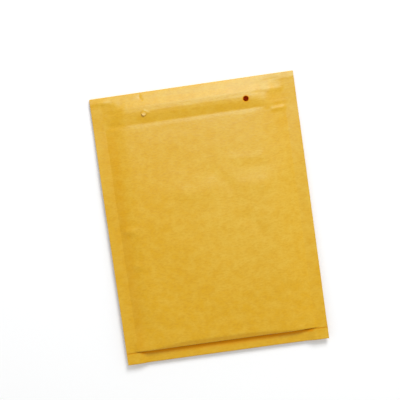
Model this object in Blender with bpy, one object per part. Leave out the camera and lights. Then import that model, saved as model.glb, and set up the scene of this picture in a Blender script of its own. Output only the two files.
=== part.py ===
"""A padded mailing envelope of golden kraft paper, lined with bubble film.

It lies on its back on a level surface, address side up, with its flap folded flat underneath.
X runs across the envelope, +Y points to the folded top edge, and Z is up from the surface.
Everything is in metres. Places along the envelope are given as a distance below the folded
top edge (a drop) or above the bottom edge.
"""

import math

import bmesh
import bpy
from mathutils import Matrix, Vector
from mathutils.geometry import delaunay_2d_cdt

# The finished envelope
WIDTH = 0.170
LENGTH = 0.225
THICKNESS = 0.0085

# Sheet goods, and the glue line that is left between two layers
PAPER = 0.00015
FILM = 0.0001
ADHESIVE = 0.00015
LINER = 0.0001
GLUE_LINE = 0.0003

# Seams, and the shoulder where the padding rises from them
SIDE_SEAM = 0.010
BOTTOM_STRIP = 0.0095
SHOULDER = 0.012
SHOULDER_ROUNDNESS = 1.6

# Flap, with its trimmed corners
FLAP_LENGTH = 0.048
CORNER_CUT_LENGTH = 0.0117
CORNER_CUT_INSET = 0.0096
CORNER_LEDGE = 0.0027

# Mouth: the back sheet's end, the padding's start, and the stretch over which the seam sinks to the flap
MOUTH_DROP = 0.0085
LINING_DROP = 0.026
MOUTH_RAMP = 0.045

# Front sheet by the mouth: it bows up, dips into a hollow, and then steps up over the end of the padding
BOW_DROP = 0.014
BOW_HEIGHT = 0.0062
HOLLOW_FALL = 0.0035
STEP_RUN = 0.0035
STEP_FALL = 0.0020
FULL_RUN = 0.0255

# Wall that the padding makes above the bottom strip, lowest at the side seams
CREVICE = 0.0006
WALL_RUN = 0.0030
WALL_START = 0.0003
WALL_SHARE = 0.72
WALL_FADE = 0.0165

# Underside: it comes down from the folded flap to the surface
BELLY_START = 0.004
BELLY_RAMP = 0.010

# Punched holes for a clasp, in the panels and in the flap
HOLE_DIAMETER = 0.0045
HOLE_SPACING = 0.085
HOLE_DROP = 0.0176
FLAP_HOLE_DROP = 0.0132
HOLE_SHIFT = 0.001
HOLE_SIDES = 20

# Punched disc that still hangs in the front sheet's left hole
DISC_CLEARANCE = 0.00015
DISC_TILT_DEG = 13.0
DISC_HINGE_DEG = 40.0
DISC_OVERLAP = 0.0004

# Bubble film
BUBBLE_DIAMETER = 0.0112
BUBBLE_PITCH = 0.0136
CROWN_DIAMETER = 0.0076
BUBBLE_SIDES = 6
BUBBLE_MARGIN = 0.0008
BOND_GAP = 0.0003
POCKET_GAP = 0.001
LINING_INSET = 0.002

# Closure strip on the flap, measured from the flap's free end
LINER_END = 0.0025
LINER_WIDTH = 0.0205
ADHESIVE_INSET = 0.004
ADHESIVE_WIDTH = 0.012
ADHESIVE_SIDE_INSET = 0.010

# Mesh fineness
SHOULDER_STEPS = 4
ACROSS_STEPS = 7
ALONG_STEPS = 4
CURVE_STEPS = 4
FOLD_STEPS = 6
MERGE = 1e-7

# Colours, linear, with roughness
KRAFT = ((0.72, 0.43, 0.06), 0.55)
CLEAR_FILM = ((0.80, 0.82, 0.82), 0.20)
GLUE = ((0.78, 0.74, 0.60), 0.30)
SILICONE_PAPER = ((0.74, 0.72, 0.66), 0.40)

# Worked out from the sizes above
HALF_WIDTH = WIDTH / 2
HALF_LENGTH = LENGTH / 2
SEAM_HALF = GLUE_LINE / 2 + FILM + GLUE_LINE + PAPER
CENTRE_HEIGHT = THICKNESS / 2
FLAP_STACK = PAPER + GLUE_LINE + ADHESIVE + GLUE_LINE + LINER + GLUE_LINE
MOUTH_HEIGHT = FLAP_STACK + SEAM_HALF
TOP_FOLD_RADIUS = (MOUTH_HEIGHT + SEAM_HALF) / 2
BOTTOM_FOLD_RADIUS = (2 * SEAM_HALF + GLUE_LINE + PAPER) / 2
STEP_DROP = LINING_DROP + STEP_RUN
FULL_DROP = STEP_DROP + FULL_RUN
WALL_FOOT = BOTTOM_STRIP + CREVICE
FLAP_END = HALF_LENGTH - FLAP_LENGTH
FLAP_CORNER = FLAP_END + CORNER_CUT_LENGTH


def limited(t):
    return min(max(t, 0.0), 1.0)


def smooth(t):
    """0 to 1 with level ends."""
    t = limited(t)
    return t * t * (3 - 2 * t)


def levelling(t, roundness):
    """0 to 1, leaving 0 at an angle and levelling off at 1."""
    return 1 - (1 - limited(t)) ** roundness


def shoulder(distance):
    """Share of the full bulge at a distance inside a seam's inner edge."""
    return levelling(distance / SHOULDER, SHOULDER_ROUNDNESS)


def from_side(x):
    return HALF_WIDTH - abs(x)


def from_top(y):
    return HALF_LENGTH - y


def from_bottom(y):
    return y + HALF_LENGTH


def seam_height(y):
    """Height of the glue line between the two sheets. It sinks towards the mouth, which has no padding."""
    return MOUTH_HEIGHT + (CENTRE_HEIGHT - MOUTH_HEIGHT) * smooth(from_top(y) / MOUTH_RAMP)


def through(knots, place):
    """Height at a place on a smooth curve through (place, height) knots, level at each local high or low."""
    slopes = [0.0]
    for before, here, after in zip(knots, knots[1:], knots[2:]):
        first, second = here[1] - before[1], after[1] - here[1]
        rising_or_falling = first * second > 0
        slopes.append((first + second) / (after[0] - before[0]) if rising_or_falling else 0.0)
    slopes.append(0.0)
    if place <= knots[0][0]:
        return knots[0][1]
    for i, (start, end) in enumerate(zip(knots, knots[1:])):
        if place <= end[0]:
            run = end[0] - start[0]
            t = (place - start[0]) / run
            height = start[1] * (1 + 2 * t) * (1 - t) ** 2 + end[1] * t * t * (3 - 2 * t)
            bend = slopes[i] * (1 - t) - slopes[i + 1] * t
            return height + run * t * (1 - t) * bend
    return knots[-1][1]


def front_crest(y):
    """Height of the front sheet's outer face along its middle, from the top fold to the full padding."""
    knots = [
        (TOP_FOLD_RADIUS, 2 * TOP_FOLD_RADIUS),
        (BOW_DROP, BOW_HEIGHT),
        (LINING_DROP, THICKNESS - HOLLOW_FALL),
        (STEP_DROP, THICKNESS - STEP_FALL),
        (FULL_DROP, THICKNESS),
    ]
    return through(knots, from_top(y))


def arch(x):
    """1 in the middle of the envelope and 0 at the side seams."""
    if from_side(x) <= SIDE_SEAM:
        return 0.0
    return 1 - (x / (HALF_WIDTH - SIDE_SEAM)) ** 2


def wall_run(x):
    return WALL_START + WALL_RUN * arch(x)


def wall_rise(x, y):
    """Share of the full bulge near the bottom: a steep wall, then a gentle slope."""
    inside = from_bottom(y) - WALL_FOOT
    wall_share = WALL_SHARE * arch(x)
    if inside <= wall_run(x):
        return wall_share * max(inside, 0.0) / wall_run(x)
    return wall_share + (1 - wall_share) * levelling((inside - wall_run(x)) / WALL_FADE, 2)


def front_height(x, y):
    """Outer face of the front sheet, outside its folds."""
    seam = seam_height(y) + SEAM_HALF
    bulge = shoulder(from_side(x) - SIDE_SEAM) * wall_rise(x, y)
    return seam + (front_crest(y) - seam) * bulge


def belly_height(y):
    """Underside of the back sheet along its middle: on the folded flap, then on the surface."""
    return FLAP_STACK * (1 - smooth((from_top(y) - FLAP_LENGTH - BELLY_START) / BELLY_RAMP))


def back_height(x, y):
    """Outer face of the back sheet, outside its fold."""
    seam = seam_height(y) - SEAM_HALF
    bulge = shoulder(from_side(x) - SIDE_SEAM) * shoulder(from_bottom(y) - BOTTOM_STRIP)
    return seam - (seam - belly_height(y)) * bulge


def spread(start, end, steps):
    """Evenly spaced values from start to end, without the end."""
    return [start + (end - start) * i / steps for i in range(steps)]


def columns():
    """X of the mesh lines across a sheet."""
    seam = HALF_WIDTH - SIDE_SEAM
    flat = seam - SHOULDER
    right = spread(flat, seam, SHOULDER_STEPS) + [seam, HALF_WIDTH]
    left = [-x for x in reversed(right)]
    return left + spread(-flat, flat, ACROSS_STEPS)[1:] + right


def lines_along(*stops):
    """Y of mesh lines from (drop, steps to the next stop) pairs, from the top down."""
    stops = sorted(stops)
    found = []
    for (start, steps), (end, _) in zip(stops, stops[1:]):
        found += spread(start, end, steps)
    return [HALF_LENGTH - drop for drop in found + [stops[-1][0]]]


def arc(centre_y, centre_z, radius, start_deg, end_deg):
    """Points of a fold in the YZ plane."""
    angles = [math.radians(a) for a in spread(start_deg, end_deg, FOLD_STEPS) + [end_deg]]
    return [(centre_y + radius * math.cos(a), centre_z + radius * math.sin(a)) for a in angles]


def front_path(x):
    """The front sheet's outer face at one X: from its covered bottom end up the panel, over the top fold
    and down along the flap."""
    wall_top = LENGTH - WALL_FOOT - wall_run(x)
    panel = lines_along(
        (2 * TOP_FOLD_RADIUS, CURVE_STEPS),
        (BOW_DROP, CURVE_STEPS),
        (LINING_DROP, CURVE_STEPS),
        (STEP_DROP, CURVE_STEPS),
        (FULL_DROP, ALONG_STEPS),
        (wall_top - WALL_FADE, CURVE_STEPS),
        (wall_top, CURVE_STEPS),
        (LENGTH - WALL_FOOT, 1),
        (LENGTH - 2 * BOTTOM_FOLD_RADIUS, 1),
    )
    points = [(y, front_height(x, y)) for y in reversed(panel)]
    points += arc(HALF_LENGTH - TOP_FOLD_RADIUS, TOP_FOLD_RADIUS, TOP_FOLD_RADIUS, 90, -90)
    return points + [(FLAP_CORNER, 0.0), (FLAP_END, 0.0)]


def back_path(x):
    """The back sheet's outer face at one X: from the mouth down the panel, round the bottom fold and up
    the strip."""
    belly = FLAP_LENGTH + BELLY_START
    inner = LENGTH - BOTTOM_STRIP
    panel = lines_along(
        (MOUTH_DROP, CURVE_STEPS),
        (MOUTH_RAMP, 1),
        (belly, CURVE_STEPS),
        (belly + BELLY_RAMP, ALONG_STEPS),
        (inner - SHOULDER, SHOULDER_STEPS),
        (inner, 1),
        (LENGTH - BOTTOM_FOLD_RADIUS, 1),
    )
    points = [(y, back_height(x, y)) for y in panel[:-1]]
    fold_y = BOTTOM_FOLD_RADIUS - HALF_LENGTH
    fold_z = CENTRE_HEIGHT - SEAM_HALF + BOTTOM_FOLD_RADIUS
    points += arc(fold_y, fold_z, BOTTOM_FOLD_RADIUS, 270, 90)
    return points + [(BOTTOM_STRIP - HALF_LENGTH, fold_z + BOTTOM_FOLD_RADIUS)]


def material(name, finish):
    colour, roughness = finish
    made = bpy.data.materials.new(name)
    made.use_nodes = True
    shader = made.node_tree.nodes["Principled BSDF"]
    shader.inputs["Base Color"].default_value = (*colour, 1.0)
    shader.inputs["Roughness"].default_value = roughness
    shader.inputs["Metallic"].default_value = 0.0
    return made


def add_object(name, bm, finish):
    mesh = bpy.data.meshes.new(name)
    bm.to_mesh(mesh)
    bm.free()
    if finish:
        mesh.materials.append(finish)
    made = bpy.data.objects.new(name, mesh)
    bpy.context.scene.collection.objects.link(made)
    return made


def combine(target, name, bm, operation):
    """Cuts a shape from the target or joins it on. The shape itself isn't a piece."""
    helper = add_object(f"{target.name}_{name}", bm, None)
    helper.hide_render = True
    helper.display_type = "WIRE"
    step = target.modifiers.new(name, "BOOLEAN")
    step.operation = operation
    step.solver = "EXACT"
    step.object = helper


def sheet(name, path, finish):
    """A folded sheet of paper whose outer face follows path at every column."""
    bm = bmesh.new()
    lines = [[bm.verts.new((x, y, z)) for y, z in path(x)] for x in columns()]
    for left, right in zip(lines, lines[1:]):
        for i in range(len(left) - 1):
            bm.faces.new((left[i], right[i], right[i + 1], left[i + 1]))
    made = add_object(name, bm, finish)
    made.data.shade_smooth()
    thick = made.modifiers.new("Paper thickness", "SOLIDIFY")
    thick.thickness = PAPER
    thick.offset = -1
    thick.use_even_offset = True
    return made


def prism(outline, low, high):
    """A closed solid of an outline in X and Y between two heights."""
    bm = bmesh.new()
    base = bm.faces.new([bm.verts.new((x, y, low)) for x, y in outline])
    grown = bmesh.ops.extrude_face_region(bm, geom=[base])["geom"]
    top = [v for v in grown if isinstance(v, bmesh.types.BMVert)]
    bmesh.ops.translate(bm, vec=(0, 0, high - low), verts=top)
    bmesh.ops.recalc_face_normals(bm, faces=bm.faces)
    return bm


def ring(centre, diameter, sides, turn=0.0):
    angles = [turn + 2 * math.pi * i / sides for i in range(sides)]
    return [
        (centre[0] + diameter / 2 * math.cos(a), centre[1] + diameter / 2 * math.sin(a))
        for a in angles
    ]


def hole_centres(drop):
    return [(HOLE_SHIFT + side * HOLE_SPACING / 2, HALF_LENGTH - drop) for side in (-1, 1)]


def punch(target, drop, low, high):
    """Punches the pair of clasp holes through the layers of a sheet between two heights."""
    for i, centre in enumerate(hole_centres(drop)):
        bm = prism(ring(centre, HOLE_DIAMETER, HOLE_SIDES), low, high)
        combine(target, f"punch_{drop}_{i}", bm, "DIFFERENCE")


def hang_disc(target):
    """The punched disc that still hangs in the left hole. Its free side, towards the bottom left, is down."""
    x, y = hole_centres(HOLE_DROP)[0]
    diameter = HOLE_DIAMETER - 2 * DISC_CLEARANCE
    hinge = math.radians(DISC_HINGE_DEG)
    reach = HOLE_DIAMETER / 2 + DISC_OVERLAP
    pivot = Vector((x + reach * math.cos(hinge), y + reach * math.sin(hinge), 0))
    pivot.z = front_height(pivot.x, pivot.y) - PAPER
    bm = prism(ring((-diameter / 2, 0), diameter, HOLE_SIDES), 0, PAPER)
    tilt = Matrix.Rotation(math.radians(-DISC_TILT_DEG), 4, "Y")
    place = Matrix.Translation(pivot) @ Matrix.Rotation(hinge, 4, "Z") @ tilt
    bmesh.ops.transform(bm, matrix=place, verts=bm.verts)
    combine(target, "hanging_disc", bm, "UNION")


def trim_flap_corners(target):
    """Cuts both corners off the flap's free end, down to a small ledge."""
    beyond = SIDE_SEAM
    for side in (-1, 1):
        outline = [
            (side * (HALF_WIDTH - CORNER_CUT_INSET), FLAP_END),
            (side * (HALF_WIDTH - CORNER_LEDGE), FLAP_CORNER),
            (side * (HALF_WIDTH + beyond), FLAP_CORNER),
            (side * (HALF_WIDTH + beyond), FLAP_END - beyond),
            (side * (HALF_WIDTH - CORNER_CUT_INSET), FLAP_END - beyond),
        ]
        combine(target, f"corner_{side}", prism(outline, -FLAP_STACK, FLAP_STACK), "DIFFERENCE")


def film_height(x, y, side):
    """Pocket face of a lining: close to the other lining in the seams, and off it in the pocket."""
    inner = shoulder(from_side(x) - SIDE_SEAM) * shoulder(from_bottom(y) - BOTTOM_STRIP)
    return seam_height(y) + side * (GLUE_LINE + POCKET_GAP * inner) / 2


def crown_height(x, y, side):
    """Top of a bubble, bonded to its sheet. The paper gets twice its thickness, for the slopes."""
    clear = 2 * PAPER + BOND_GAP
    return front_height(x, y) - clear if side > 0 else back_height(x, y) + clear


def lining_lines():
    """X and Y of the mesh lines of a lining's pocket face."""
    seam = HALF_WIDTH - SIDE_SEAM
    right = spread(seam - SHOULDER, seam, SHOULDER_STEPS) + [seam, HALF_WIDTH - LINING_INSET]
    xs = [-x for x in reversed(right)] + right
    inner = LENGTH - BOTTOM_STRIP
    ys = lines_along(
        (LINING_DROP, ALONG_STEPS),
        (FULL_DROP, 1),
        (inner - SHOULDER, SHOULDER_STEPS),
        (inner, 1),
        (LENGTH - LINING_INSET, 1),
    )
    return xs, ys


def bubble_centres():
    """Staggered rows that fill the space between the seams and the end of the film."""
    reach = BUBBLE_DIAMETER / 2 + BUBBLE_MARGIN
    low = WALL_FOOT + WALL_START + reach - HALF_LENGTH
    high = HALF_LENGTH - LINING_DROP - reach
    row_pitch = BUBBLE_PITCH * math.sin(math.radians(60))
    rows = int((high - low) / row_pitch) + 1
    first_row = (low + high - (rows - 1) * row_pitch) / 2
    room = 2 * (HALF_WIDTH - SIDE_SEAM - reach)
    most_across = int(room / BUBBLE_PITCH) + 1
    found = []
    for row in range(rows):
        across = most_across - row % 2
        left = -(across - 1) * BUBBLE_PITCH / 2
        found += [(left + i * BUBBLE_PITCH, first_row + row * row_pitch) for i in range(across)]
    return found


def bubble_ring(centre, diameter):
    return ring(centre, diameter, BUBBLE_SIDES, math.pi / BUBBLE_SIDES)


def border(xs, ys):
    """The mesh lines' ends round a lining, once round."""
    there = [(x, ys[0]) for x in xs] + [(xs[-1], y) for y in ys[1:]]
    back = [(x, ys[-1]) for x in reversed(xs[:-1])] + [(xs[0], y) for y in reversed(ys[1:-1])]
    return there + back


def film_between_bubbles(xs, ys):
    """The paper side of the film: its points, its triangles outside the bubbles, where each point of the
    border went, and where each bubble's points went."""
    points = border(xs, ys)
    faces = [list(range(len(points)))]
    for centre in bubble_centres():
        faces.append(list(range(len(points), len(points) + BUBBLE_SIDES)))
        points += bubble_ring(centre, BUBBLE_DIAMETER)
    edges = []
    for outer_x, inner_x in ((xs[0], xs[1]), (xs[-1], xs[-2])):
        for i, y in enumerate(ys):
            edges.append((points.index((outer_x, y)), len(points)))
            if i:
                edges.append((len(points) - 1, len(points)))
            points.append((inner_x, y))
    flat = [Vector(point) for point in points]
    places, _, triangles, origins, _, owners = delaunay_2d_cdt(flat, edges, faces, 1, MERGE)
    film = [t for t, owned in zip(triangles, owners) if max(owned, default=0) == 0]
    moved = {old: new for new, olds in enumerate(origins) for old in olds}
    rings = [[moved[i] for i in face] for face in faces]
    return places, film, rings[0], rings[1:]


def lining(name, side, finish):
    """Bubble film: flat towards the pocket, with a dome for each bubble towards the paper. side is 1 in
    front and -1 behind."""
    xs, ys = lining_lines()
    places, triangles, rim, bases = film_between_bubbles(xs, ys)
    bm = bmesh.new()
    outer = [bm.verts.new((x, y, film_height(x, y, side) + side * FILM)) for x, y in places]
    for triangle in triangles:
        bm.faces.new([outer[i] for i in triangle])
    for centre, base in zip(bubble_centres(), bases):
        top = bubble_ring(centre, CROWN_DIAMETER)
        crown = [bm.verts.new((x, y, crown_height(x, y, side))) for x, y in top]
        for i in range(BUBBLE_SIDES):
            bm.faces.new((outer[base[i - 1]], outer[base[i]], crown[i], crown[i - 1]))
        bm.faces.new(crown)
    inner = {(x, y): bm.verts.new((x, y, film_height(x, y, side))) for x in xs for y in ys}
    for x0, x1 in zip(xs, xs[1:]):
        for y0, y1 in zip(ys, ys[1:]):
            bm.faces.new((inner[x0, y0], inner[x1, y0], inner[x1, y1], inner[x0, y1]))
    edge = border(xs, ys)
    for i in range(len(edge)):
        bm.faces.new((outer[rim[i - 1]], outer[rim[i]], inner[edge[i]], inner[edge[i - 1]]))
    bmesh.ops.triangulate(bm, faces=bm.faces)
    bmesh.ops.recalc_face_normals(bm, faces=bm.faces)
    add_object(name, bm, finish)


def liner_outline():
    """The release liner is trimmed with the flap, so its ends follow the flap's corners."""
    far = FLAP_END + LINER_END
    near = far + LINER_WIDTH
    slant = (CORNER_CUT_INSET - CORNER_LEDGE) / CORNER_CUT_LENGTH
    right = [
        (HALF_WIDTH, near),
        (HALF_WIDTH, FLAP_CORNER),
        (HALF_WIDTH - CORNER_LEDGE, FLAP_CORNER),
        (HALF_WIDTH - CORNER_LEDGE - slant * (FLAP_CORNER - far), far),
    ]
    return right + [(-x, y) for x, y in reversed(right)]


def adhesive_outline():
    far = FLAP_END + LINER_END + ADHESIVE_INSET
    near = far + ADHESIVE_WIDTH
    reach = HALF_WIDTH - ADHESIVE_SIDE_INSET
    return [(reach, near), (-reach, near), (-reach, far), (reach, far)]


def make_front_sheet(kraft):
    front = sheet("front_sheet", front_path, kraft)
    trim_flap_corners(front)
    punch(front, HOLE_DROP, FLAP_STACK, 2 * THICKNESS)
    punch(front, FLAP_HOLE_DROP, -FLAP_STACK, FLAP_STACK)
    hang_disc(front)


def make_back_sheet(kraft):
    back = sheet("back_sheet", back_path, kraft)
    punch(back, HOLE_DROP, -THICKNESS, THICKNESS)


def make_closure():
    """The adhesive strip on the flap, and the liner that keeps it until the envelope is sealed."""
    adhesive_low = PAPER + GLUE_LINE
    liner_low = adhesive_low + ADHESIVE + GLUE_LINE
    strip = prism(adhesive_outline(), adhesive_low, adhesive_low + ADHESIVE)
    add_object("adhesive_strip", strip, material("adhesive", GLUE))
    liner = prism(liner_outline(), liner_low, liner_low + LINER)
    add_object("release_liner", liner, material("release_liner", SILICONE_PAPER))


def build():
    for leftover in list(bpy.data.objects):
        bpy.data.objects.remove(leftover)
    kraft = material("kraft_paper", KRAFT)
    film = material("bubble_film", CLEAR_FILM)
    make_front_sheet(kraft)
    make_back_sheet(kraft)
    lining("front_bubble_lining", 1, film)
    lining("back_bubble_lining", -1, film)
    make_closure()


build()
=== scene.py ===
import math

import bpy
import numpy as np
from mathutils import Matrix, Vector, noise


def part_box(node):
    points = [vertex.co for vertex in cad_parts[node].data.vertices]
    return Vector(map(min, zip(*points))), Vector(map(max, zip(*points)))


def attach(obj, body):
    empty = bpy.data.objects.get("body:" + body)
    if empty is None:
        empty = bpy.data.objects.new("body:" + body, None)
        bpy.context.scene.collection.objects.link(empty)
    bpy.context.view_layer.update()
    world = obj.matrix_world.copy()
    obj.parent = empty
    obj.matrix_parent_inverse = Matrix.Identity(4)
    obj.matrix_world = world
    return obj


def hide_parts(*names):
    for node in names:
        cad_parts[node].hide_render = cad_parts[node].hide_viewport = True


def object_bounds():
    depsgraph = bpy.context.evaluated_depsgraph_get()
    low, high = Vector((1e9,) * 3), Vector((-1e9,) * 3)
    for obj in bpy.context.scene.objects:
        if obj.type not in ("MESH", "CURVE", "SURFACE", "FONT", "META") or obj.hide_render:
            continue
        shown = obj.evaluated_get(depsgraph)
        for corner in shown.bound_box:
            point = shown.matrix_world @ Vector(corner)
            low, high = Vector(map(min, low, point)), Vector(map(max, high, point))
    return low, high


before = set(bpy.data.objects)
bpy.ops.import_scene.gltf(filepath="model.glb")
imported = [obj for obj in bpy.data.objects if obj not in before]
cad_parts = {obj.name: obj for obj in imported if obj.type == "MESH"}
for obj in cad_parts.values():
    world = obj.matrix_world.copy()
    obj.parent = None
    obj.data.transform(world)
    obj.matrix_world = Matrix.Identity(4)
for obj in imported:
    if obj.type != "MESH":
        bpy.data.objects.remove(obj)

cad_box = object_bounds()

# Lengths are in millimetres, but the paper's looks, the camera, the lights and the floor use metres.
# u runs from the left edge to the right and v from the top fold to the bottom
MM = 0.001
SIZE = (cad_box[1] - cad_box[0]) / MM
WIDTH, LENGTH, THICKNESS = SIZE
CENTRE_U = WIDTH / 2
TOP_Y = cad_box[1].y / MM
LEFT_X = cad_box[0].x / MM

# Sheet goods, as in the frame
PAPER = 0.15
FILM = 0.1
GLUE_LINE = 0.3
SEAM_HALF = GLUE_LINE / 2 + FILM + GLUE_LINE + PAPER
FLAP_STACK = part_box("release_liner")[1].z / MM + GLUE_LINE
MOUTH_HEIGHT = FLAP_STACK + SEAM_HALF
TOP_FOLD_HEIGHT = MOUTH_HEIGHT + SEAM_HALF
TOP_RADIUS = 0.55
FOLD_SLOPE_SPAN = (2.0, 3.5)
FOLD_BLEND = 5.0
BOTTOM_RADIUS = (2 * SEAM_HALF + GLUE_LINE + PAPER) / 2
CENTRE_HEIGHT = THICKNESS / 2

# Seams, folds and the flap
SIDE_SEAM = 10.0
STRIP = 9.5
MOUTH_RAMP = 80.0
MOUTH_DROP = 8.5
FLAP_LENGTH = 48.0
CORNER_CUT_LENGTH = 11.7
CORNER_CUT_INSET = 9.6
CORNER_LEDGE = 2.7
BELLY_START = 4.0
BELLY_RAMP = 10.0
BACK_SHOULDER = 12.0
BACK_ROUNDNESS = 1.6

# The bottom edge sags between the side seams
SAG_DEPTH = 1.8
SAG_START = 200.0
SAG_RAMP = 12.0
SAG_FADE = 9.0

# Front sheet along its middle: (v, height). The mouth bows up and dips again before the padding
MIDDLE_MOUTH = [(1, 2.65), (12, 5.75), (16, 6.15), (19, 6.05), (25.7, 5.15), (29.2, 5.56)]
LEFT_MOUTH = [(1, 2.65), (12, 5.4), (16, 5.7), (25.7, 5.55), (29.2, 5.75)]
RIGHT_MOUTH = [(1, 2.65), (12, 4.95), (16, 5.1), (25.7, 5.35), (29.2, 5.62)]
PADDED_CREST = [
    (40, 6.12),
    (60, 7.0),
    (85, 7.87),
    (112, 8.36),
    (140, 8.45),
    (175, 8.4),
    (208, 8.15),
    (214, 8.0),
]
CREST_SOFTNESS = 0.7
DIP_LEFT_START = 22.0
DIP_LEFT_RUN = 24.0
DIP_RIGHT = ((139.0, 14.0), (147.5, 27.0))
DIP_RIGHT_RUN = 15.0
MOUTH_LEFT = (8.0, 21.0)
MOUTH_RIGHT = (8.0, 19.0)
SHOULDER_LEFT = 18.0
SHOULDER_RIGHT = 28.0
SHOULDER_ROUNDNESS = 1.9
PADDING_START = 25.5
PADDING_RUN = 4.0
END_LEFT = (7.0, 12.5)
END_RIGHT = (8.0, 22.0)
END_V = 194.0
END_RUN = 20.0
LIP_RISE = 0.42
LIP_REACH = 9.0
LIP_START = 1.0
LIP_RUN = 2.5
LIP_FADE = 10.0
LIP_FADE_RUN = 20.0

# Swell of the sheets: (height, size across, size along, seed)
FRONT_SWELL = [(0.28, 30.0, 24.0, 1.5), (0.07, 11.0, 8.0, 4.5)]
FRONT_GRAIN = [(0.03, 4.0, 3.0, 7.5)]
BACK_SWELL = [(0.14, 24.0, 24.0, 11.5), (0.06, 8.0, 8.0, 14.5)]
STRIP_PLEATS = [(0.12, 5.0, 30.0, 21.5), (0.02, 3.0, 3.0, 24.5)]
SWELL_START = 4.0
SWELL_RUN = 10.0
SWELL_IN_MOUTH = 0.3

# Lens-shaped facet above the bottom strip, which widens to the left
WALL_V = 214.0
FACET_WIDTH = 3.5
FACET_SLOPE = 0.41
FACET_LEFT_RUN = 45.0
FACET_RIGHT_RUN = 62.0
FACET_SOFTNESS = 0.5
# Painted shade on the facet, which faces away from the light
FACET_PAINTED_SHADE = 0.2

# The padding's end bulges out over the seam: (distance past WALL_V, share of the height left)
WALL = [
    (0.30, 0.95),
    (0.60, 0.84),
    (0.80, 0.68),
    (0.86, 0.52),
    (0.76, 0.36),
    (0.56, 0.2),
    (0.45, 0.08),
    (0.6, 0),
]
WALL_STEP = 0.07
STRIP_GROOVE = 0.2
STRIP_GROOVE_HALF_WIDTH = 0.45

# Bubble film
BUBBLE_RADIUS = 5.6
BUBBLE_PITCH = 13.6
BUBBLE_MARGIN = 0.8
BUBBLE_FULLNESS = 3.0
BOND_GAP = 0.15
POCKET_GAP = 1.0
LINING_DROP = 26.0
LINING_INSET = 2.0
LINING_SPACING = 1.2

# Holes and the disc that still hangs in the left one
HOLE_RADIUS = 2.25
HOLE_SPACING = 85.0
HOLE_DROP = 17.6
FLAP_HOLE_DROP = 13.2
HOLE_SHIFT = 1.0
DISC_RADIUS = 2.12
DISC_HINGE_DEG = 40.0
DISC_TILT_DEG = 8.0
DISC_CUP = 0.25

# Mesh spacing, with how far it stays fine by the seams, the bottom strip's edge and the holes
COARSE = 1.25
FINE = 0.5
FOLD_STEPS = 10
FINE_END = 34
FINE_BY_SEAM = (1, 2)
FINE_BY_STRIP = (4, 2)
FINE_PADDING_END = 8
FINE_HEM = 0.3
CUT_STEP = 0.04
SHARP_DEG = 60.0
SNAP_REACH = 0.6 * FINE
HOLE_MARGIN = 1.5
HOLE_NEAR = FLAP_HOLE_DROP - HOLE_RADIUS - HOLE_MARGIN
HOLE_FAR = FLAP_HOLE_DROP + HOLE_RADIUS + HOLE_MARGIN

# Painted shade and glow: deeper colour in the crevice, along the bottom strip's edge, on the left shoulder
# and round the holes
PAINTED_SHADE_START = 10.0
PAINTED_SHADE_RUN = 4.0
PAINTED_SHADE_V = 215.9
PAINTED_SHADE_FADE = (2.0, 4.8)
PAINTED_SHADE_FADE_RUN = 60.0
# A painted shadow line along the bottom strip's edge
EDGE_SHADOW_V = 215.15
EDGE_SHADOW_HALF_WIDTH = 0.3
EDGE_SHADOW_SHARE = 0.6
# Painted shade on the left shoulder of the padding
SHOULDER_PAINTED_SHADE = 0.16
SHOULDER_PLACE = 13.5
SHOULDER_REACH = 5.0
# Reach of the painted red glow under the holes
UNDER_HOLE_REACH = 3.5
# Reach of the painted shade round the open hole
HOLE_EDGE_REACH = 0.6

# Printed mark on the back, in the corner at the bottom right of the front
MARK_U = (160.5, 164.7)
MARK_V = (210.0, 219.5)
MARK_LIFT = 0.04

# Wrinkles in the front sheet: start, end, half-width and height
WRINKLE_FADE = 0.25
FRONT_WRINKLES = [
    ((104, 65.5), (143, 66.5), 4.8, 0.26),
    ((104, 87), (143, 88), 7.2, 0.36),
    ((88, 68), (113, 94), 4.6, -0.22),
    ((110, 108), (134, 136), 4.6, -0.24),
    ((128, 164), (148, 184), 4.0, -0.20),
    ((58, 90), (98, 88), 7.0, 0.36),
    ((11, 112), (31, 115), 2.8, 0.66),
    ((15, 141), (33, 145), 3.0, 0.50),
    ((112, 13), (150, 13), 7.5, -0.38),
    ((42.6, 15.0), (48.6, 18.6), 1.0, 0.22),
    ((57, 201), (143, 201), 1.8, 0.07),
    ((145, 13.2), (161, 12.5), 2.3, 0.24),
    ((147, 23.9), (163, 23.3), 1.6, 0.14),
    ((146, 29.1), (162, 28.5), 1.8, 0.42),
    ((9, 14.0), (26, 15.0), 1.7, -0.14),
    ((9, 24.5), (26, 25.0), 1.7, -0.14),
    ((-4, 0.5), (27, 8.0), 3.2, 0.45),
    ((39.5, 1.5), (44.5, 7.5), 1.1, -0.22),
    ((140, 5.2), (172, 3.0), 0.8, -0.12),
    ((146, 212.5), (152, 210.5), 1.2, 0.30),
]

# Kraft paper's colours, linear: outside, a painted sheen added where it is paler, painted shade in its
# creases, and inside, with a painted red glow under the holes
KRAFT_LIGHT = (0.692, 0.405, 0.020, 1.0)
KRAFT_DEEP = (0.669, 0.364, 0.001, 1.0)
# Painted sheen, added towards the middle and right of the front
KRAFT_PAINTED_SHEEN = (0.012, 0.026, 0.014, 1.0)
PAINTED_SHEEN_CENTRE = (0.040, 0.0025, 0.008)
PAINTED_SHEEN_REACH = (0.08, 0.035)
# Painted shade: the colour of the crevice and creases in shadow
KRAFT_PAINTED_SHADE = (0.72, 0.275, 0.005, 1.0)
KRAFT_FIBRE = (0.92, 0.87, 0.45, 1.0)
INSIDE_LIGHT = (0.66, 0.30, 0.02, 1.0)
INSIDE_DEEP = (0.64, 0.26, 0.0, 1.0)
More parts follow.
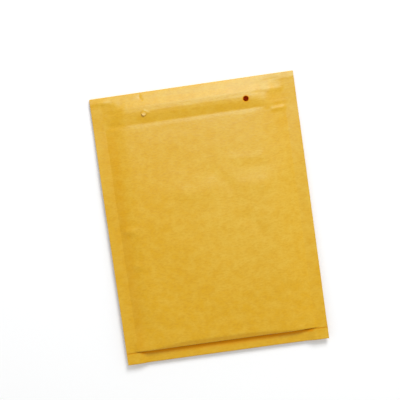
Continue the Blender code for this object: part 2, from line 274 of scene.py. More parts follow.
# Painted red colour and glow under the holes, standing in for the light that the paper lets through
UNDER_HOLE_PAINTED_GLOW_COLOUR = (0.92, 0.10, 0.002, 1.0)
UNDER_HOLE_PAINTED_GLOW = (1.0, 0.03, 0.0, 1.0)
PAINTED_GLOW_STRENGTH = 0.085

# Kraft paper's texture and finish
CLOUD_SCALE = 150.0
CLOUD_DETAIL = 6.0
CLOUD_SPREAD = (0.32, 0.63)
FIBRE_SCALE = 900.0
FIBRE_DETAIL = 3.0
FIBRE_STRETCH = 2.2
FIBRE_SPREAD = (0.42, 0.72)
PAPER_BUMP = 0.35
BUMP_DISTANCE = 0.0002
OUTSIDE_ROUGHNESS = 0.40
OUTSIDE_GLOSS = 0.38
INSIDE_ROUGHNESS = 0.7
INSIDE_GLOSS = 0.1

# The other materials: colour, roughness, fineness and depth of the grain
FILM_FINISH = ((0.85, 0.88, 0.9, 1.0), 0.15, 300.0, 0.2)
FILM_CLARITY = 0.8
INK_FINISH = ((0.06, 0.09, 0.20, 1.0), 0.5, 900.0, 0.15)
ADHESIVE_FINISH = ((0.78, 0.74, 0.60, 1.0), 0.25, 200.0, 0.15)
LINER_FINISH = ((0.74, 0.72, 0.66, 1.0), 0.4, 400.0, 0.15)
FILM_DETAIL = 2.0
GRAIN_DETAIL = 3.0
FLOOR_COLOUR = (0.95, 0.95, 0.95, 1.0)
FLOOR_ROUGHNESS = 0.9

# Camera, from the photograph's outline of the envelope
CAMERA_PLACE = (0.0107, 0.0550, 0.6678)
CAMERA_AIM = (-0.00565, 0.01737, 0.005)
CAMERA_ROLL_DEG = 8.09
FOCAL_PIXELS = 800
FRAME_PIXELS = 400
SENSOR = 36.0

# Studio light: a large soft key, and a cool light that gives reflections alone
WORLD_STRENGTH = 0.66
KEY_PLACE = (0.58, 1.45, 1.25)
KEY_AIM = (0.0, 0.03, 0.0)
KEY_SIZE = 0.7
KEY_POWER = 29.5
SHEEN_PLACE = (0.09, 0.55, 1.02)
SHEEN_AIM = (0.0, 0.08, 0.0)
SHEEN_SIZE = 0.35
SHEEN_POWER = 8.5
SHEEN_COLOUR = (0.2, 0.85, 1.0)
FLOOR_REACH = 3.0


def smooth(t):
    t = np.clip(t, 0.0, 1.0)
    return t * t * (3 - 2 * t)


def levelling(t, roundness):
    """0 to 1, leaving 0 at an angle and levelling off at 1."""
    return 1 - (1 - np.clip(t, 0.0, 1.0)) ** roundness


def soft_positive(t, softness):
    """About 0 below 0 and about t above it, with a rounded corner between."""
    return (t + np.sqrt(t * t + softness**2)) / 2


def from_side(u):
    return CENTRE_U - np.abs(u - CENTRE_U)


def soft_line(knots, v, softness):
    """Heights along straight runs between knots, with each corner rounded over about the softness."""
    places, heights = zip(*knots)
    steps = np.linspace(-2, 2, 9)
    weights = np.exp(-(steps**2))
    total = sum(w * np.interp(v + s * softness, places, heights) for s, w in zip(steps, weights))
    return total / weights.sum()


def lumps(u, v, size_u, size_v, seed):
    """Even, repeatable noise between about -1 and 1, with lumps of the given size."""
    flat = [
        noise.noise(Vector((a / size_u, b / size_v, seed)))
        for a, b in zip(np.ravel(u), np.ravel(v))
    ]
    return np.array(flat).reshape(np.shape(u))


def swell(u, v, layers):
    """Noise in layers, each with its height, its size both ways and its seed."""
    return sum(height * lumps(u, v, size_u, size_v, seed) for height, size_u, size_v, seed in layers)


def wrinkle(u, v, start, end, half_width, height):
    """A rounded crease from start to end, which fades at both ends."""
    along = np.subtract(end, start)
    length = np.hypot(*along)
    along = along / length
    t = ((u - start[0]) * along[0] + (v - start[1]) * along[1]) / length
    off = (u - start[0]) * -along[1] + (v - start[1]) * along[0]
    fade = smooth(t / WRINKLE_FADE) * smooth((1 - t) / WRINKLE_FADE)
    return height * np.exp(-((off / half_width) ** 2)) * fade


def seam_height(u, v):
    """Height of the glue line between the two sheets."""
    level = MOUTH_HEIGHT + (CENTRE_HEIGHT - MOUTH_HEIGHT) * smooth(v / MOUTH_RAMP)
    middle = smooth((from_side(u) - SIDE_SEAM) / SAG_FADE)
    return level - SAG_DEPTH * middle * smooth((v - SAG_START) / SAG_RAMP)


def mouth_crest(u, v):
    """Front sheet's height along the padding and the mouth, whose dip ends before both side seams."""
    mouths = (MIDDLE_MOUTH, LEFT_MOUTH, RIGHT_MOUTH)
    middle, left, right = (soft_line(mouth + PADDED_CREST, v, CREST_SOFTNESS) for mouth in mouths)
    (u0, v0), (u1, v1) = DIP_RIGHT
    slant = u0 + np.maximum(v - v0, 0) * (u1 - u0) / (v1 - v0)
    to_left = 1 - smooth((u - DIP_LEFT_START) / DIP_LEFT_RUN)
    to_right = smooth((u - slant) / DIP_RIGHT_RUN + 0.5)
    return middle + (left - middle) * to_left + (right - middle) * to_right


def side_share(u, v):
    """0 on the side seams and 1 inside them, rising sooner in the padding than in the mouth."""
    mouth = smooth((u - MOUTH_LEFT[0]) / MOUTH_LEFT[1])
    mouth = mouth * smooth((WIDTH - u - MOUTH_RIGHT[0]) / MOUTH_RIGHT[1])
    left = levelling((u - SIDE_SEAM) / SHOULDER_LEFT, SHOULDER_ROUNDNESS)
    right = levelling((WIDTH - SIDE_SEAM - u) / SHOULDER_RIGHT, SHOULDER_ROUNDNESS)
    padded = left * right
    in_padding = smooth((v - PADDING_START) / PADDING_RUN)
    at_end = smooth((v - END_V) / END_RUN)
    return mouth + (padded - mouth) * in_padding + (end_share(u) - padded) * at_end


def end_share(u):
    """The same at the padding's end, which rises quickly from the left seam and slowly from the right."""
    left = levelling((u - END_LEFT[0]) / END_LEFT[1], SHOULDER_ROUNDNESS)
    right = levelling((WIDTH - u - END_RIGHT[0]) / END_RIGHT[1], SHOULDER_ROUNDNESS)
    return left * right


def lip(u, v):
    """Rise just below the top fold, on and beside the side seams."""
    near_side = 1 - smooth((from_side(u) - SIDE_SEAM) / LIP_REACH)
    fade = 1 - smooth((v - LIP_FADE) / LIP_FADE_RUN)
    return LIP_RISE * near_side * smooth((v - LIP_START) / LIP_RUN) * fade


def past_facet_start(u, v):
    """How far down a point is from the upper edge of the lens-shaped facet above the bottom strip."""
    left = smooth((u - SIDE_SEAM) / FACET_LEFT_RUN)
    right = smooth((WIDTH - SIDE_SEAM - u) / FACET_RIGHT_RUN)
    return v - WALL_V + FACET_WIDTH * left * right


def facet(u, v):
    """How far the facet cuts into the padding."""
    return FACET_SLOPE * soft_positive(past_facet_start(u, v), FACET_SOFTNESS)


def front_height(u, v):
    """Outer face of the front sheet above the surface, down to the padding's end."""
    seam = seam_height(u, v) + SEAM_HALF
    crest = mouth_crest(u, v) - facet(u, v)
    height = seam + (crest - seam) * side_share(u, v) + lip(u, v)
    for start, end, half_width, rise in FRONT_WRINKLES:
        height = height + wrinkle(u, v, start, end, half_width, rise)
    below_mouth = smooth((v - PADDING_START) / SWELL_RUN)
    inner = smooth((from_side(u) - SWELL_START) / SWELL_RUN)
    inner = inner * (SWELL_IN_MOUTH + (1 - SWELL_IN_MOUTH) * below_mouth)
    height = height + swell(u, v, FRONT_SWELL) * inner + swell(u, v, FRONT_GRAIN)
    height = np.where(v > WALL_V, np.minimum(height, seam), height)
    return np.minimum(height, THICKNESS)


def back_height(u, v):
    """Outer face of the back sheet, above the surface."""
    seam = seam_height(u, v) - SEAM_HALF
    padded = smooth((v - FLAP_LENGTH - BELLY_START) / BELLY_RAMP)
    belly = FLAP_STACK * (1 - padded)
    side = levelling((from_side(u) - SIDE_SEAM) / BACK_SHOULDER, BACK_ROUNDNESS)
    end = levelling((LENGTH - STRIP - v) / BACK_SHOULDER, BACK_ROUNDNESS)
    rise = np.abs(swell(u, v, BACK_SWELL))
    return seam - (seam - belly) * side * end + rise * side * end * padded


def stations(*stops):
    """Mesh lines from (place, spacing up to the next place) pairs."""
    found = []
    for (start, spacing), (end, _) in zip(stops, stops[1:]):
        count = max(1, round(abs(end - start) / spacing))
        found += [start + (end - start) * i / count for i in range(count)]
    return np.array(found + [stops[-1][0]])


def columns():
    reach = HOLE_RADIUS + HOLE_MARGIN
    half = (HOLE_SPACING / 2 - reach, HOLE_SPACING / 2 + reach)
    middle = CENTRE_U + HOLE_SHIFT
    outer, inner = SIDE_SEAM - FINE_BY_SEAM[0], SIDE_SEAM + FINE_BY_SEAM[1]
    return stations(
        (0, COARSE),
        (outer, FINE),
        (inner, COARSE),
        (middle - half[1], FINE),
        (middle - half[0], COARSE),
        (middle + half[0], FINE),
        (middle + half[1], COARSE),
        (WIDTH - inner, FINE),
        (WIDTH - outer, COARSE),
        (WIDTH, COARSE),
    )


def hole_centres(drop):
    return [(CENTRE_U + HOLE_SHIFT + side * HOLE_SPACING / 2, drop) for side in (-1, 1)]


def snap_to_holes(u, v, rows, drop):
    """Moves mesh points near a hole's edge onto it, and says which points fall inside a hole."""
    inside = np.zeros(u.shape, bool)
    for cu, cv in hole_centres(drop):
        du, dv = u - cu, v - cv
        distance = np.hypot(du, dv)
        near = rows[:, None] & (np.abs(distance - HOLE_RADIUS) < SNAP_REACH)
        scale = np.where(near, HOLE_RADIUS / np.maximum(distance, 1e-6), 1.0)
        u[...] = cu + du * scale
        v[...] = np.where(near, cv + dv * scale, v)
        inside |= rows[:, None] & ~near & (distance < HOLE_RADIUS)
    return inside


def grid_points(u, v, z):
    return np.stack([(LEFT_X + u) * MM, (TOP_Y - v) * MM, z * MM], axis=-1).reshape(-1, 3)


def grid_faces(rows, across):
    """Quads of a grid, as corner indices."""
    first = (np.arange(rows - 1)[:, None] * across + np.arange(across - 1)).ravel()
    return np.stack([first, first + 1, first + across + 1, first + across], axis=-1)


def between_seams(u):
    """0 on the side seams, rising to 1 past the ends of the crevice above the bottom strip, where the shade
    is painted.
    """
    return smooth((from_side(u) - PAINTED_SHADE_START) / PAINTED_SHADE_RUN)


def left_shoulder(u, v):
    """1 where the padding rises from the left seam, fading on both sides, where shade is painted."""
    below_mouth = smooth((v - PADDING_START) / SWELL_RUN)
    return np.exp(-(((u - SHOULDER_PLACE) / SHOULDER_REACH) ** 2)) * below_mouth


def painted_glow_under_hole(u, v):
    """1 below the middle of a hole in the front, fading to 0 round it, where a red glow is painted."""
    found = np.zeros(u.shape)
    for cu, cv in hole_centres(HOLE_DROP):
        found = np.maximum(found, np.exp(-((u - cu) ** 2 + (v - cv) ** 2) / UNDER_HOLE_REACH**2))
    return found


def hole_edge(u, v):
    """1 on the edge of the open hole in the front, fading outside it, where shade is painted round it."""
    cu, cv = hole_centres(HOLE_DROP)[1]
    return np.exp(-(((np.hypot(u - cu, v - cv) - HOLE_RADIUS) / HOLE_EDGE_REACH) ** 2))


def panel_painted_shade(u, v):
    """How much painted shade deepens the front panel's colour: round the open hole, in the facet and by the
    left seam.
    """
    in_facet = FACET_PAINTED_SHADE * smooth(past_facet_start(u, v)) * between_seams(u)
    return np.minimum(np.maximum(hole_edge(u, v), in_facet) + SHOULDER_PAINTED_SHADE * left_shoulder(u, v), 1)


def sheet(name, u, v, z, gone, painted_shade, finishes):
    """A sheet of paper from its outer face's grid of points, without the faces inside the holes.

    Its colour is deepened at each point by the given share of painted shade.
    """
    gone = gone.ravel()
    faces = []
    for quad in grid_faces(*u.shape).tolist():
        kept = [p for p in quad if not gone[p]]
        if len(kept) > 2:
            faces.append(kept)
    mesh = bpy.data.meshes.new(name)
    mesh.from_pydata(grid_points(u, v, z).tolist(), [], faces)
    # The painted shade and the painted glow, kept on the points for the materials
    for painted_attribute, values in (("painted_shade", painted_shade), ("painted_glow_under_hole", painted_glow_under_hole(u, v))):
        attribute = mesh.attributes.new(painted_attribute, "FLOAT", "POINT")
        attribute.data.foreach_set("value", values.ravel().astype(np.float32))
    return finish_paper(name, mesh, finishes)


def add_object(name, data):
    made = bpy.data.objects.new(name, data)
    bpy.context.scene.collection.objects.link(made)
    return made


def finish_paper(name, mesh, finishes):
    """Gives a paper surface its thickness, crisp cut edges and the materials of its two faces."""
    for finish in finishes:
        mesh.materials.append(finish)
    made = add_object(name, mesh)
    thick = made.modifiers.new("Paper thickness", "SOLIDIFY")
    thick.thickness = PAPER * MM
    thick.offset = -1
    thick.material_offset = 1
    graph = bpy.context.evaluated_depsgraph_get()
    solid = bpy.data.meshes.new_from_object(made.evaluated_get(graph))
    made.modifiers.clear()
    made.data = solid
    solid.shade_smooth()
    solid.set_sharp_from_angle(angle=math.radians(SHARP_DEG))
    return made


def top_fold(across):
    """The fold at the top edge, crisp above and below. It leaves the panel at the panel's own slope."""
    near, far = (front_height(across, np.full_like(across, drop)) for drop in FOLD_SLOPE_SPAN)
    rise = (far - near) / (FOLD_SLOPE_SPAN[1] - FOLD_SLOPE_SPAN[0])
    share = np.linspace(0, 1, FOLD_STEPS // 2 + 1)[:, None]
    above = (math.pi / 2 - np.arctan(rise)) * (1 - share)
    below = np.full_like(above, -math.pi / 2) * share
    angles = np.concatenate([above, below])
    upper = np.arange(len(angles))[:, None] < len(above)
    centre = np.where(upper, TOP_FOLD_HEIGHT - TOP_RADIUS, TOP_RADIUS)
    return TOP_RADIUS * (1 - np.cos(angles)), centre + TOP_RADIUS * np.sin(angles), rise


def wall_rows(across):
    """The padding's bulging end, from the seam up to the panel's last row: v, height and painted shade,
    deeper towards the seam.
    """
    level = np.full_like(across, WALL_V)
    top = front_height(across, level)
    seam = seam_height(across, level) + SEAM_HALF
    side = side_share(across, level)
    found_v, found_z, painted_shade = [], [], []
    for step, (past, share) in enumerate(WALL, 1):
        apart = WALL_STEP * step
        found_v.append(WALL_V + apart + (past - apart) * side)
        found_z.append(seam + (top - seam) * share)
        painted_shade.append((1 - share) * between_seams(across))
    return np.array(found_v[::-1]), np.array(found_z[::-1]), np.array(painted_shade[::-1])


def hem_rows(across):
    """The front sheet under the bottom strip, grooved along the strip's edge: v, height and painted shade,
    with a painted shadow line along the edge.
    """
    drops = stations(
        (LENGTH - 2 * BOTTOM_RADIUS, COARSE),
        (LENGTH - STRIP + FINE_HEM, FINE / 3),
        (WALL_V + WALL[-1][0] + WALL_STEP, COARSE),
    )
    u, v = np.meshgrid(across, drops)
    groove = np.exp(-(((v - (LENGTH - STRIP)) / STRIP_GROOVE_HALF_WIDTH) ** 2))
    edge_shadow = EDGE_SHADOW_SHARE * np.exp(-(((v - EDGE_SHADOW_V) / EDGE_SHADOW_HALF_WIDTH) ** 2))
    return v, seam_height(u, v) + SEAM_HALF - STRIP_GROOVE * groove, np.maximum(between_seams(u), edge_shadow)


def make_front_sheet(finishes):
    across = columns()
    hem_v, hem_z, hem_painted_shade = hem_rows(across)
    wall_v, wall_z, wall_painted_shade = wall_rows(across)
    padding_end = LENGTH - STRIP - FINE_PADDING_END
    panel = stations((WALL_V, FINE), (padding_end, COARSE), (FINE_END, FINE), (1.0, FINE))
    _, panel_v = np.meshgrid(across, panel)
    fold_v, fold_z, rise = top_fold(across)
    corner = FLAP_LENGTH - CORNER_CUT_LENGTH
    flap = stations(
        (TOP_RADIUS + FINE, COARSE),
        (HOLE_NEAR, FINE),
        (HOLE_FAR, COARSE),
        (corner - CUT_STEP / 2, CUT_STEP),
        (corner + CUT_STEP / 2, COARSE),
        (FLAP_LENGTH, COARSE),
    )
    _, flap_v = np.meshgrid(across, flap)
    v = np.concatenate([hem_v, wall_v, panel_v, fold_v, flap_v])
    u = np.repeat(across[None, :], len(v), axis=0)
    kinds = [hem_v, wall_v, panel_v, fold_v, flap_v]
    kind = np.concatenate([np.full(len(rows), i) for i, rows in enumerate(kinds)])
    in_hem, in_wall, in_panel, in_fold, in_flap = (kind == i for i in range(len(kinds)))
    gone = snap_to_holes(u, v, in_panel, HOLE_DROP)
    gone |= snap_to_holes(u, v, in_flap, FLAP_HOLE_DROP)
    z = np.zeros(u.shape)
    z[in_hem] = hem_z
    z[in_wall] = wall_z
    z[in_panel] = front_height(u[in_panel], v[in_panel])
    z[in_fold] = fold_z
    near_fold = smooth(1 - (v[in_panel] - FOLD_SLOPE_SPAN[0]) / FOLD_BLEND)
    from_fold = fold_z[0] + rise * (v[in_panel] - fold_v[0])
    z[in_panel] += (from_fold - z[in_panel]) * near_fold
    trim_flap(u, v, in_flap)
    # Painted shade on the hem, the padding's wall and the panel
    painted_shade = np.zeros(u.shape)
    painted_shade[in_hem] = hem_painted_shade
    painted_shade[in_wall] = wall_painted_shade
    painted_shade[in_panel] = panel_painted_shade(u, v)[in_panel]
    return sheet("kraft_front", u, v, z, gone, painted_shade, finishes)


def trim_flap(u, v, rows):
    """Draws the flap's sides in to its trimmed corners."""
    to_end = FLAP_LENGTH - v[rows]
    slant = CORNER_LEDGE + (CORNER_CUT_INSET - CORNER_LEDGE) * (1 - to_end / CORNER_CUT_LENGTH)
    inset = np.where(to_end < CORNER_CUT_LENGTH, slant, 0.0)
    u[rows] = CENTRE_U + (u[rows] - CENTRE_U) * (1 - inset / CENTRE_U)


def make_back_sheet(finishes):
    across = columns()
    panel = stations(
        (MOUTH_DROP, FINE),
        (FINE_END, COARSE),
        (LENGTH - STRIP - FINE_BY_STRIP[0], FINE),
        (LENGTH - STRIP + FINE_BY_STRIP[1], COARSE),
        (LENGTH - BOTTOM_RADIUS - 0.1, COARSE),
    )
    angles = np.radians(np.linspace(-90, 90, FOLD_STEPS + 1))
    fold = LENGTH - BOTTOM_RADIUS + BOTTOM_RADIUS * np.cos(angles)
    strip = stations((LENGTH - BOTTOM_RADIUS - FINE, FINE), (LENGTH - STRIP, FINE))
    u, v = np.meshgrid(across, np.concatenate([panel, fold, strip]))
    kind = np.repeat([0, 1, 2], [len(panel), len(fold), len(strip)])
    in_panel, in_fold, in_strip = (kind == i for i in range(3))
    gone = snap_to_holes(u, v, in_panel, HOLE_DROP)
    z = seam_height(u, v) - SEAM_HALF
    z[in_panel] = back_height(u[in_panel], v[in_panel])
    z[in_fold] += BOTTOM_RADIUS * (1 + np.sin(angles))[:, None]
    z[in_strip] += 2 * BOTTOM_RADIUS + swell(u[in_strip], v[in_strip], STRIP_PLEATS)
    # Painted shade on the strip below the crevice, with a painted shadow line along its edge
    wider = levelling((from_side(u) - PAINTED_SHADE_START) / PAINTED_SHADE_FADE_RUN, SHOULDER_ROUNDNESS)
    reach = PAINTED_SHADE_FADE[0] + (PAINTED_SHADE_FADE[1] - PAINTED_SHADE_FADE[0]) * wider
    painted_shade = between_seams(u) * (1 - smooth((v - PAINTED_SHADE_V) / reach))
    painted_shade = np.where(v < LENGTH - STRIP + 0.1, np.maximum(painted_shade, EDGE_SHADOW_SHARE), painted_shade)
    painted_shade = np.where(in_strip[:, None], painted_shade, 0.0)
    return sheet("kraft_back", u, v, z, gone, painted_shade, finishes)


def make_mark(finish):
    """The printed mark, a film of ink on the back sheet."""
    across, drops = (stations((low, FINE), (high, FINE)) for low, high in (MARK_U, MARK_V))
    u, v = np.meshgrid(across, drops)
    points = grid_points(u, v, back_height(u, v) - MARK_LIFT)
    mesh = bpy.data.meshes.new("printed_mark")
    mesh.from_pydata(points.tolist(), [], grid_faces(*u.shape).tolist())
    mesh.shade_smooth()
    mesh.materials.append(finish)
    return add_object("printed_mark", mesh)


def make_disc(finishes):
    """The punched disc in the left hole, a little cupped, hinged at its upper right and raised opposite."""
    rings, sides = 6, 40
    points = [(0.0, 0.0, -DISC_CUP)]
    for r in range(1, rings + 1):
        radius = DISC_RADIUS * r / rings
        depth = DISC_CUP * (1 - (r / rings) ** 2)
        for s in range(sides):
            a = 2 * math.pi * s / sides
            points.append((radius * math.cos(a), radius * math.sin(a), -depth))
    faces = [(0, 1 + s, 1 + (s + 1) % sides) for s in range(sides)]
    for r in range(rings - 1):
        first = 1 + r * sides
        for s in range(sides):
            t = (s + 1) % sides
            faces.append((first + s, first + sides + s, first + sides + t, first + t))
    mesh = bpy.data.meshes.new("hanging_disc")
    mesh.from_pydata([Vector(p) * MM for p in points], [], faces)
    u, v = hole_centres(HOLE_DROP)[0]
    hinge = math.radians(DISC_HINGE_DEG)
    pivot_u = u + HOLE_RADIUS * math.cos(hinge)
    pivot_v = v - HOLE_RADIUS * math.sin(hinge)
    pivot_z = float(front_height(np.array([pivot_u]), np.array([pivot_v]))[0])
    pivot = Vector((LEFT_X + pivot_u, TOP_Y - pivot_v, pivot_z)) * MM
    mesh.transform(
        Matrix.Translation(pivot)
        @ Matrix.Rotation(hinge, 4, "Z")
        @ Matrix.Rotation(math.radians(DISC_TILT_DEG), 4, "Y")
        @ Matrix.Translation((-DISC_RADIUS * MM, 0, 0))
    )
    return finish_paper("hanging_disc", mesh, finishes)


def bubble_centres():
    """Staggered rows that fill the space between the seams and the end of the film."""
    reach = BUBBLE_RADIUS + BUBBLE_MARGIN
    low, high = LINING_DROP + reach, WALL_V - reach
    row_pitch = BUBBLE_PITCH * math.sin(math.radians(60))
    rows = int((high - low) / row_pitch) + 1
    first = (low + high - (rows - 1) * row_pitch) / 2
    most = int((WIDTH - 2 * SIDE_SEAM - 2 * reach) / BUBBLE_PITCH) + 1
    found = []
    for row in range(rows):
        across = most - row % 2
        left = CENTRE_U - (across - 1) * BUBBLE_PITCH / 2
        found += [(left + i * BUBBLE_PITCH, first + row * row_pitch) for i in range(across)]
    return found


def bubble_share(u, v):
    """1 on a bubble's crown, falling to 0 at its foot and between the bubbles."""
    nearest = np.full(u.shape, np.inf)
    for cu, cv in bubble_centres():
        nearest = np.minimum(nearest, np.hypot(u - cu, v - cv))
    t = np.clip(nearest / BUBBLE_RADIUS, 0, 1)
    return (1 - t**BUBBLE_FULLNESS) ** 0.5


def make_lining(name, side, finish):
    """Bubble film: flat towards the pocket, with domes towards the paper. side is 1 in front."""
    across = stations((LINING_INSET, LINING_SPACING), (WIDTH - LINING_INSET, LINING_SPACING))
    drops = stations((LENGTH - LINING_INSET, LINING_SPACING), (LINING_DROP, LINING_SPACING))
    u, v = np.meshgrid(across, drops)
    inside = levelling((from_side(u) - SIDE_SEAM) / BACK_SHOULDER, BACK_ROUNDNESS)
    inside = inside * levelling((WALL_V - v) / BACK_SHOULDER, BACK_ROUNDNESS)
    flat = seam_height(u, v) + side * (GLUE_LINE + POCKET_GAP * inside) / 2
    base = flat + side * FILM
    if side > 0:
        paper = front_height(u, v) - 2 * PAPER - BOND_GAP
    else:
        paper = back_height(u, v) + 2 * PAPER + BOND_GAP
    domed = base + (paper - base) * bubble_share(u, v)
    low, high = (flat, domed) if side > 0 else (domed, flat)
    rows, count_across = u.shape
    count = rows * count_across
    quads = grid_faces(rows, count_across)
    faces = quads[:, ::-1].tolist() + (quads + count).tolist()
    grid = np.arange(count).reshape(u.shape)
    loop = np.concatenate([grid[0], grid[1:, -1], grid[-1, -2::-1], grid[-2:0:-1, 0]]).tolist()
    faces += [(a, b, count + b, count + a) for a, b in zip(loop, loop[1:] + loop[:1])]
    mesh = bpy.data.meshes.new(name)
    points = np.concatenate([grid_points(u, v, low), grid_points(u, v, high)])
    mesh.from_pydata(points.tolist(), [], faces)
    mesh.shade_smooth()
    mesh.set_sharp_from_angle(angle=math.radians(SHARP_DEG))
    mesh.materials.append(finish)
    return add_object(name, mesh)


def new_material(name, colour, roughness):
    made = bpy.data.materials.new(name)
    made.use_nodes = True
    shader = made.node_tree.nodes["Principled BSDF"]
    shader.inputs["Base Color"].default_value = colour
    shader.inputs["Roughness"].default_value = roughness
    return made, made.node_tree, shader


def object_place(tree, stretch):
    """Object coordinates, drawn out along X by the stretch."""
    coordinates = tree.nodes.new("ShaderNodeTexCoord")
    mapping = tree.nodes.new("ShaderNodeMapping")
    mapping.inputs["Scale"].default_value = (1 / stretch, 1, 1)
    tree.links.new(coordinates.outputs["Object"], mapping.inputs["Vector"])
    return mapping.outputs["Vector"]


def noise_node(tree, scale, detail, vector):
    node = tree.nodes.new("ShaderNodeTexNoise")
    node.inputs["Scale"].default_value = scale
    node.inputs["Detail"].default_value = detail
    tree.links.new(vector, node.inputs["Vector"])
    return node.outputs["Fac"]


def distance_from(tree, centre, vector):
    node = tree.nodes.new("ShaderNodeVectorMath")
    node.operation = "DISTANCE"
    node.inputs[1].default_value = centre
    tree.links.new(vector, node.inputs[0])
    return node.outputs["Value"]


def mix_colours(tree, blend, factor, colour_a, colour_b):
    """A Mix node. Each input is a socket to link or a fixed value."""
    node = tree.nodes.new("ShaderNodeMix")
    node.data_type = "RGBA"
    node.blend_type = blend
    for socket, value in (("Factor", factor), ("A", colour_a), ("B", colour_b)):
        if isinstance(value, bpy.types.NodeSocket):
            tree.links.new(value, node.inputs[socket])
        else:
            node.inputs[socket].default_value = value
    return node.outputs["Result"]


def spread(tree, value, low, high, to_low=0.0, to_high=1.0):
    """Stretches a value so that low to high becomes to_low to to_high."""
    node = tree.nodes.new("ShaderNodeMapRange")
    node.inputs["From Min"].default_value = low
    node.inputs["From Max"].default_value = high
    node.inputs["To Min"].default_value = to_low
    node.inputs["To Max"].default_value = to_high
    tree.links.new(value, node.inputs["Value"])
    return node.outputs["Result"]


def attribute_node(tree, name):
    node = tree.nodes.new("ShaderNodeAttribute")
    node.attribute_name = name
    return node.outputs["Fac"]


def add_bump(tree, shader, height, strength):
    bump = tree.nodes.new("ShaderNodeBump")
    bump.inputs["Strength"].default_value = strength
    bump.inputs["Distance"].default_value = BUMP_DISTANCE
    tree.links.new(height, bump.inputs["Height"])
    tree.links.new(bump.outputs["Normal"], shader.inputs["Normal"])


def kraft_material(name, light, deep, roughness, gloss, painted_attribute, painted_colour):
    """Kraft paper: cloudy tone, a painted sheen towards the middle, darker fibres along the sheet and a soft
    sheen.

    Where the named attribute of painted shade or painted glow is 1, the paper has the painted colour and no
    sheen.
    """
    made, tree, shader = new_material(name, light, roughness)
    even = object_place(tree, 1.0)
    along = object_place(tree, FIBRE_STRETCH)
    cloud = spread(tree, noise_node(tree, CLOUD_SCALE, CLOUD_DETAIL, even), *CLOUD_SPREAD)
    tone = mix_colours(tree, "MIX", cloud, light, deep)
    fibres = noise_node(tree, FIBRE_SCALE, FIBRE_DETAIL, along)
    flecks = spread(tree, fibres, *FIBRE_SPREAD)
    # Painted sheen: paler towards the middle and right
    painted_sheen = spread(tree, distance_from(tree, PAINTED_SHEEN_CENTRE, even), *PAINTED_SHEEN_REACH)
    tone = mix_colours(tree, "ADD", painted_sheen, tone, KRAFT_PAINTED_SHEEN)
    paper = mix_colours(tree, "MULTIPLY", flecks, tone, KRAFT_FIBRE)
    # Painted shade or glow from the attribute, which also takes away the sheen
    painted_share = attribute_node(tree, painted_attribute)
    tree.links.new(mix_colours(tree, "MIX", painted_share, paper, painted_colour), shader.inputs["Base Color"])
    tree.links.new(spread(tree, painted_share, 0.0, 1.0, gloss, 0.0), shader.inputs["Specular IOR Level"])
    add_bump(tree, shader, fibres, PAPER_BUMP)
    return made


def outside_material():
    finish = (OUTSIDE_ROUGHNESS, OUTSIDE_GLOSS)
    # The painted shade comes from the points' attribute
    return kraft_material("kraft_paper", KRAFT_LIGHT, KRAFT_DEEP, *finish, "painted_shade", KRAFT_PAINTED_SHADE)


def inside_material():
    """The inner face, with a painted red colour and glow where a hole shows it, standing in for the light
    that the paper lets through.
    """
    finish = (INSIDE_ROUGHNESS, INSIDE_GLOSS)
    made = kraft_material("kraft_inside", INSIDE_LIGHT, INSIDE_DEEP, *finish, "painted_glow_under_hole", UNDER_HOLE_PAINTED_GLOW_COLOUR)
    tree = made.node_tree
    shader = tree.nodes["Principled BSDF"]
    # Painted glow: an emission under the holes, though nothing there is a lamp
    glow = mix_colours(tree, "MIX", attribute_node(tree, "painted_glow_under_hole"), (0, 0, 0, 1), UNDER_HOLE_PAINTED_GLOW)
    tree.links.new(glow, shader.inputs["Emission Color"])
    shader.inputs["Emission Strength"].default_value = PAINTED_GLOW_STRENGTH
    return made


def film_material():
    colour, roughness, grain, depth = FILM_FINISH
    made, tree, shader = new_material("bubble_film", colour, roughness)
    shader.inputs["Transmission Weight"].default_value = FILM_CLARITY
    add_bump(tree, shader, noise_node(tree, grain, FILM_DETAIL, object_place(tree, 1.0)), depth)
    return made


def plain_material(name, colour, roughness, grain, depth):
    made, tree, shader = new_material(name, colour, roughness)
    add_bump(tree, shader, noise_node(tree, grain, GRAIN_DETAIL, object_place(tree, 1.0)), depth)
    return made


def dress(node, finish):
    """Gives a node of the frame its finished material."""
    for part_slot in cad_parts[node].material_slots:
        part_slot.material = finish


def add_floor():
    mesh = bpy.data.meshes.new("floor")
    corners = [(x * FLOOR_REACH, y * FLOOR_REACH, 0) for x, y in ((-1, -1), (1, -1), (1, 1), (-1, 1))]
    mesh.from_pydata(corners, [], [(0, 1, 2, 3)])
    made, _, _ = new_material("floor", FLOOR_COLOUR, FLOOR_ROUGHNESS)
    mesh.materials.append(made)
    add_object("floor", mesh)


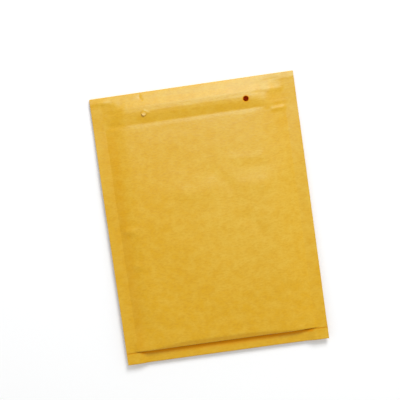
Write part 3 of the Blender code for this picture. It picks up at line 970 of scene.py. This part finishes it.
def add_light(name, place, aim, size, power):
    data = bpy.data.lights.new(name, "AREA")
    data.size = size
    data.energy = power
    light = add_object(name, data)
    light.location = place
    light.rotation_euler = (Vector(aim) - Vector(place)).to_track_quat("-Z", "Y").to_euler()
    return light


def add_world(strength):
    world = bpy.data.worlds.new("studio")
    world.use_nodes = True
    background = world.node_tree.nodes["Background"]
    background.inputs["Color"].default_value = (1, 1, 1, 1)
    background.inputs["Strength"].default_value = strength
    bpy.context.scene.world = world


def add_camera():
    data = bpy.data.cameras.new("camera")
    data.sensor_width = SENSOR
    data.lens = FOCAL_PIXELS * SENSOR / FRAME_PIXELS
    camera = add_object("camera", data)
    look = Vector(CAMERA_AIM) - Vector(CAMERA_PLACE)
    turn = look.to_track_quat("-Z", "Y").to_matrix()
    right = turn.col[0]
    level = math.atan2(right.y, right.x)
    roll = Matrix.Rotation(-math.radians(CAMERA_ROLL_DEG) - level, 3, look)
    camera.matrix_world = Matrix.Translation(CAMERA_PLACE) @ (roll.inverted() @ turn).to_4x4()
    bpy.context.scene.camera = camera


kraft = (outside_material(), inside_material())
front = make_front_sheet(kraft)
back = make_back_sheet(kraft)
disc = make_disc(kraft)
mark = make_mark(plain_material("blue_ink", *INK_FINISH))
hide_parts("front_sheet")
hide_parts("back_sheet")
for piece in (front, back, disc, mark):
    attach(piece, "root")

film = film_material()
for side, node in ((1, "front_bubble_lining"), (-1, "back_bubble_lining")):
    lining = make_lining(node.replace("lining", "film"), side, film)
    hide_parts(node)
    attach(lining, "root")
dress("adhesive_strip", plain_material("adhesive", *ADHESIVE_FINISH))
dress("release_liner", plain_material("release_liner", *LINER_FINISH))

add_floor()
add_world(WORLD_STRENGTH)
add_light("key", KEY_PLACE, KEY_AIM, KEY_SIZE, KEY_POWER)
sheen = add_light("sheen", SHEEN_PLACE, SHEEN_AIM, SHEEN_SIZE, SHEEN_POWER)
sheen.data.color = SHEEN_COLOUR
sheen.visible_diffuse = False
add_camera()
bpy.context.scene.view_settings.view_transform = "Standard"
